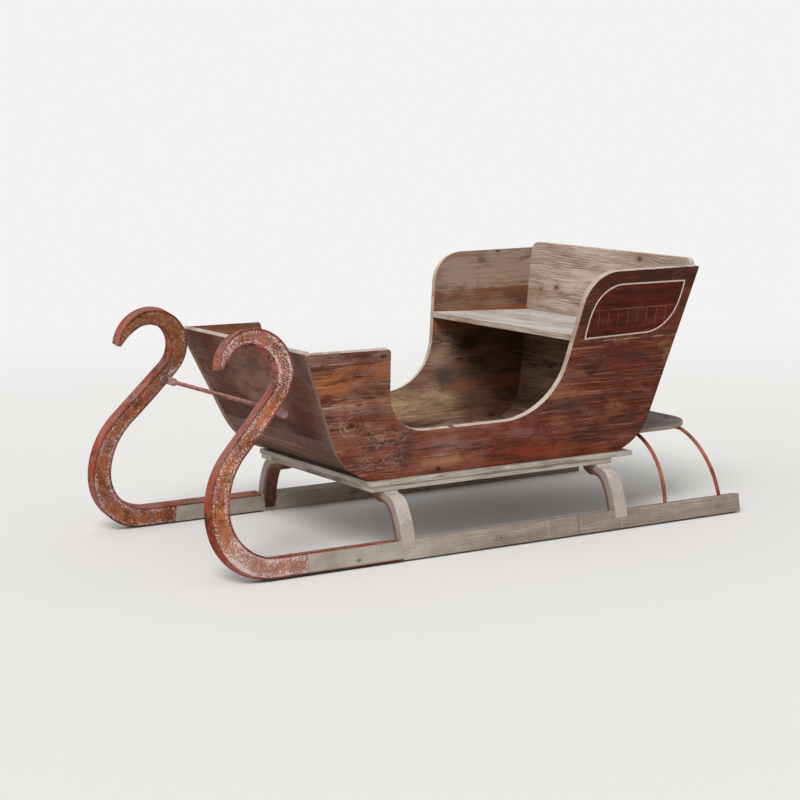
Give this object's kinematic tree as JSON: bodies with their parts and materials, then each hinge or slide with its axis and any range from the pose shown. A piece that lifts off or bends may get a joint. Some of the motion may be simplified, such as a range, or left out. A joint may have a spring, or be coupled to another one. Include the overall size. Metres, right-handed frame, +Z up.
{
  "type": "horse drawn sleigh",
  "caption": "Rustic open sleigh of weathered boards: splayed body with seat, low doorways and coopered ends, on leaning wooden runners with steel swan necks and a rear footboard on hoops.",
  "frame": {"origin": "on the ground midway along the sleigh's length and between its runners", "axes": "+X forward from the footboard to the swan necks, +Y to the sleigh's left, +Z up"},
  "size_m": [2.051, 1.0048, 0.906],
  "materials": {
    "runner_wood": "weathered grey-tan softwood, matt",
    "neck_plate_steel": "rusted mild steel sheet, coarse speckle, matt",
    "neck_strap_steel": "oxide-red rusted mild steel strip, worn paler on top",
    "strut_wood": "pale grey weathered wood, matt",
    "strut_iron": "dark red-brown rusted strap, matt",
    "platform_wood": "weathered grey boards, matt",
    "side_wood": "red-brown stained barn boards, worn and scratched",
    "dash_wood": "grey-brown reclaimed boards, worn ends",
    "shell_wood": "brown-grey reclaimed boards, matt",
    "floor_wood": "grey-brown worn boards, matt",
    "backrest_wood": "pale tan-grey boards with brown streaks",
    "seat_wood": "very pale cream-grey planks, matt",
    "footboard_wood": "grey weathered board, matt",
    "hoop_steel": "salmon-orange rusted round bar, matt",
    "crossbar_steel": "rust-red round bar, matt"
  },
  "bodies": {
    "root": {"back_boards": "shell_wood", "backrest_boards": "backrest_wood", "crossbar": "crossbar_steel", "dash_boards": "dash_wood", "deck_boards": "platform_wood", "deck_rail_left": "platform_wood", "deck_rail_right": "platform_wood", "floor_boards": "floor_wood", "footboard": "footboard_wood", "front_batten": "platform_wood", "front_bend_boards": "dash_wood", "front_hoop": "hoop_steel", "front_strut_iron_left": "strut_iron", "front_strut_iron_right": "strut_iron", "front_strut_left": "strut_wood", "front_strut_right": "strut_wood", "neck_front_strap_left": "neck_strap_steel", "neck_front_strap_right": "neck_strap_steel", "neck_plates_left": "neck_plate_steel", "neck_plates_right": "neck_plate_steel", "neck_rear_strap_left": "neck_strap_steel", "neck_rear_strap_right": "neck_strap_steel", "rear_batten": "platform_wood", "rear_bend_boards": "shell_wood", "rear_hoop": "hoop_steel", "rear_strut_iron_left": "strut_iron", "rear_strut_iron_right": "strut_iron", "rear_strut_left": "strut_wood", "rear_strut_right": "strut_wood", "runner_beam_left": "runner_wood", "runner_beam_right": "runner_wood", "seat_boards": "seat_wood", "side_panel_left": "side_wood", "side_panel_right": "side_wood"}
  },
  "joints": []
}
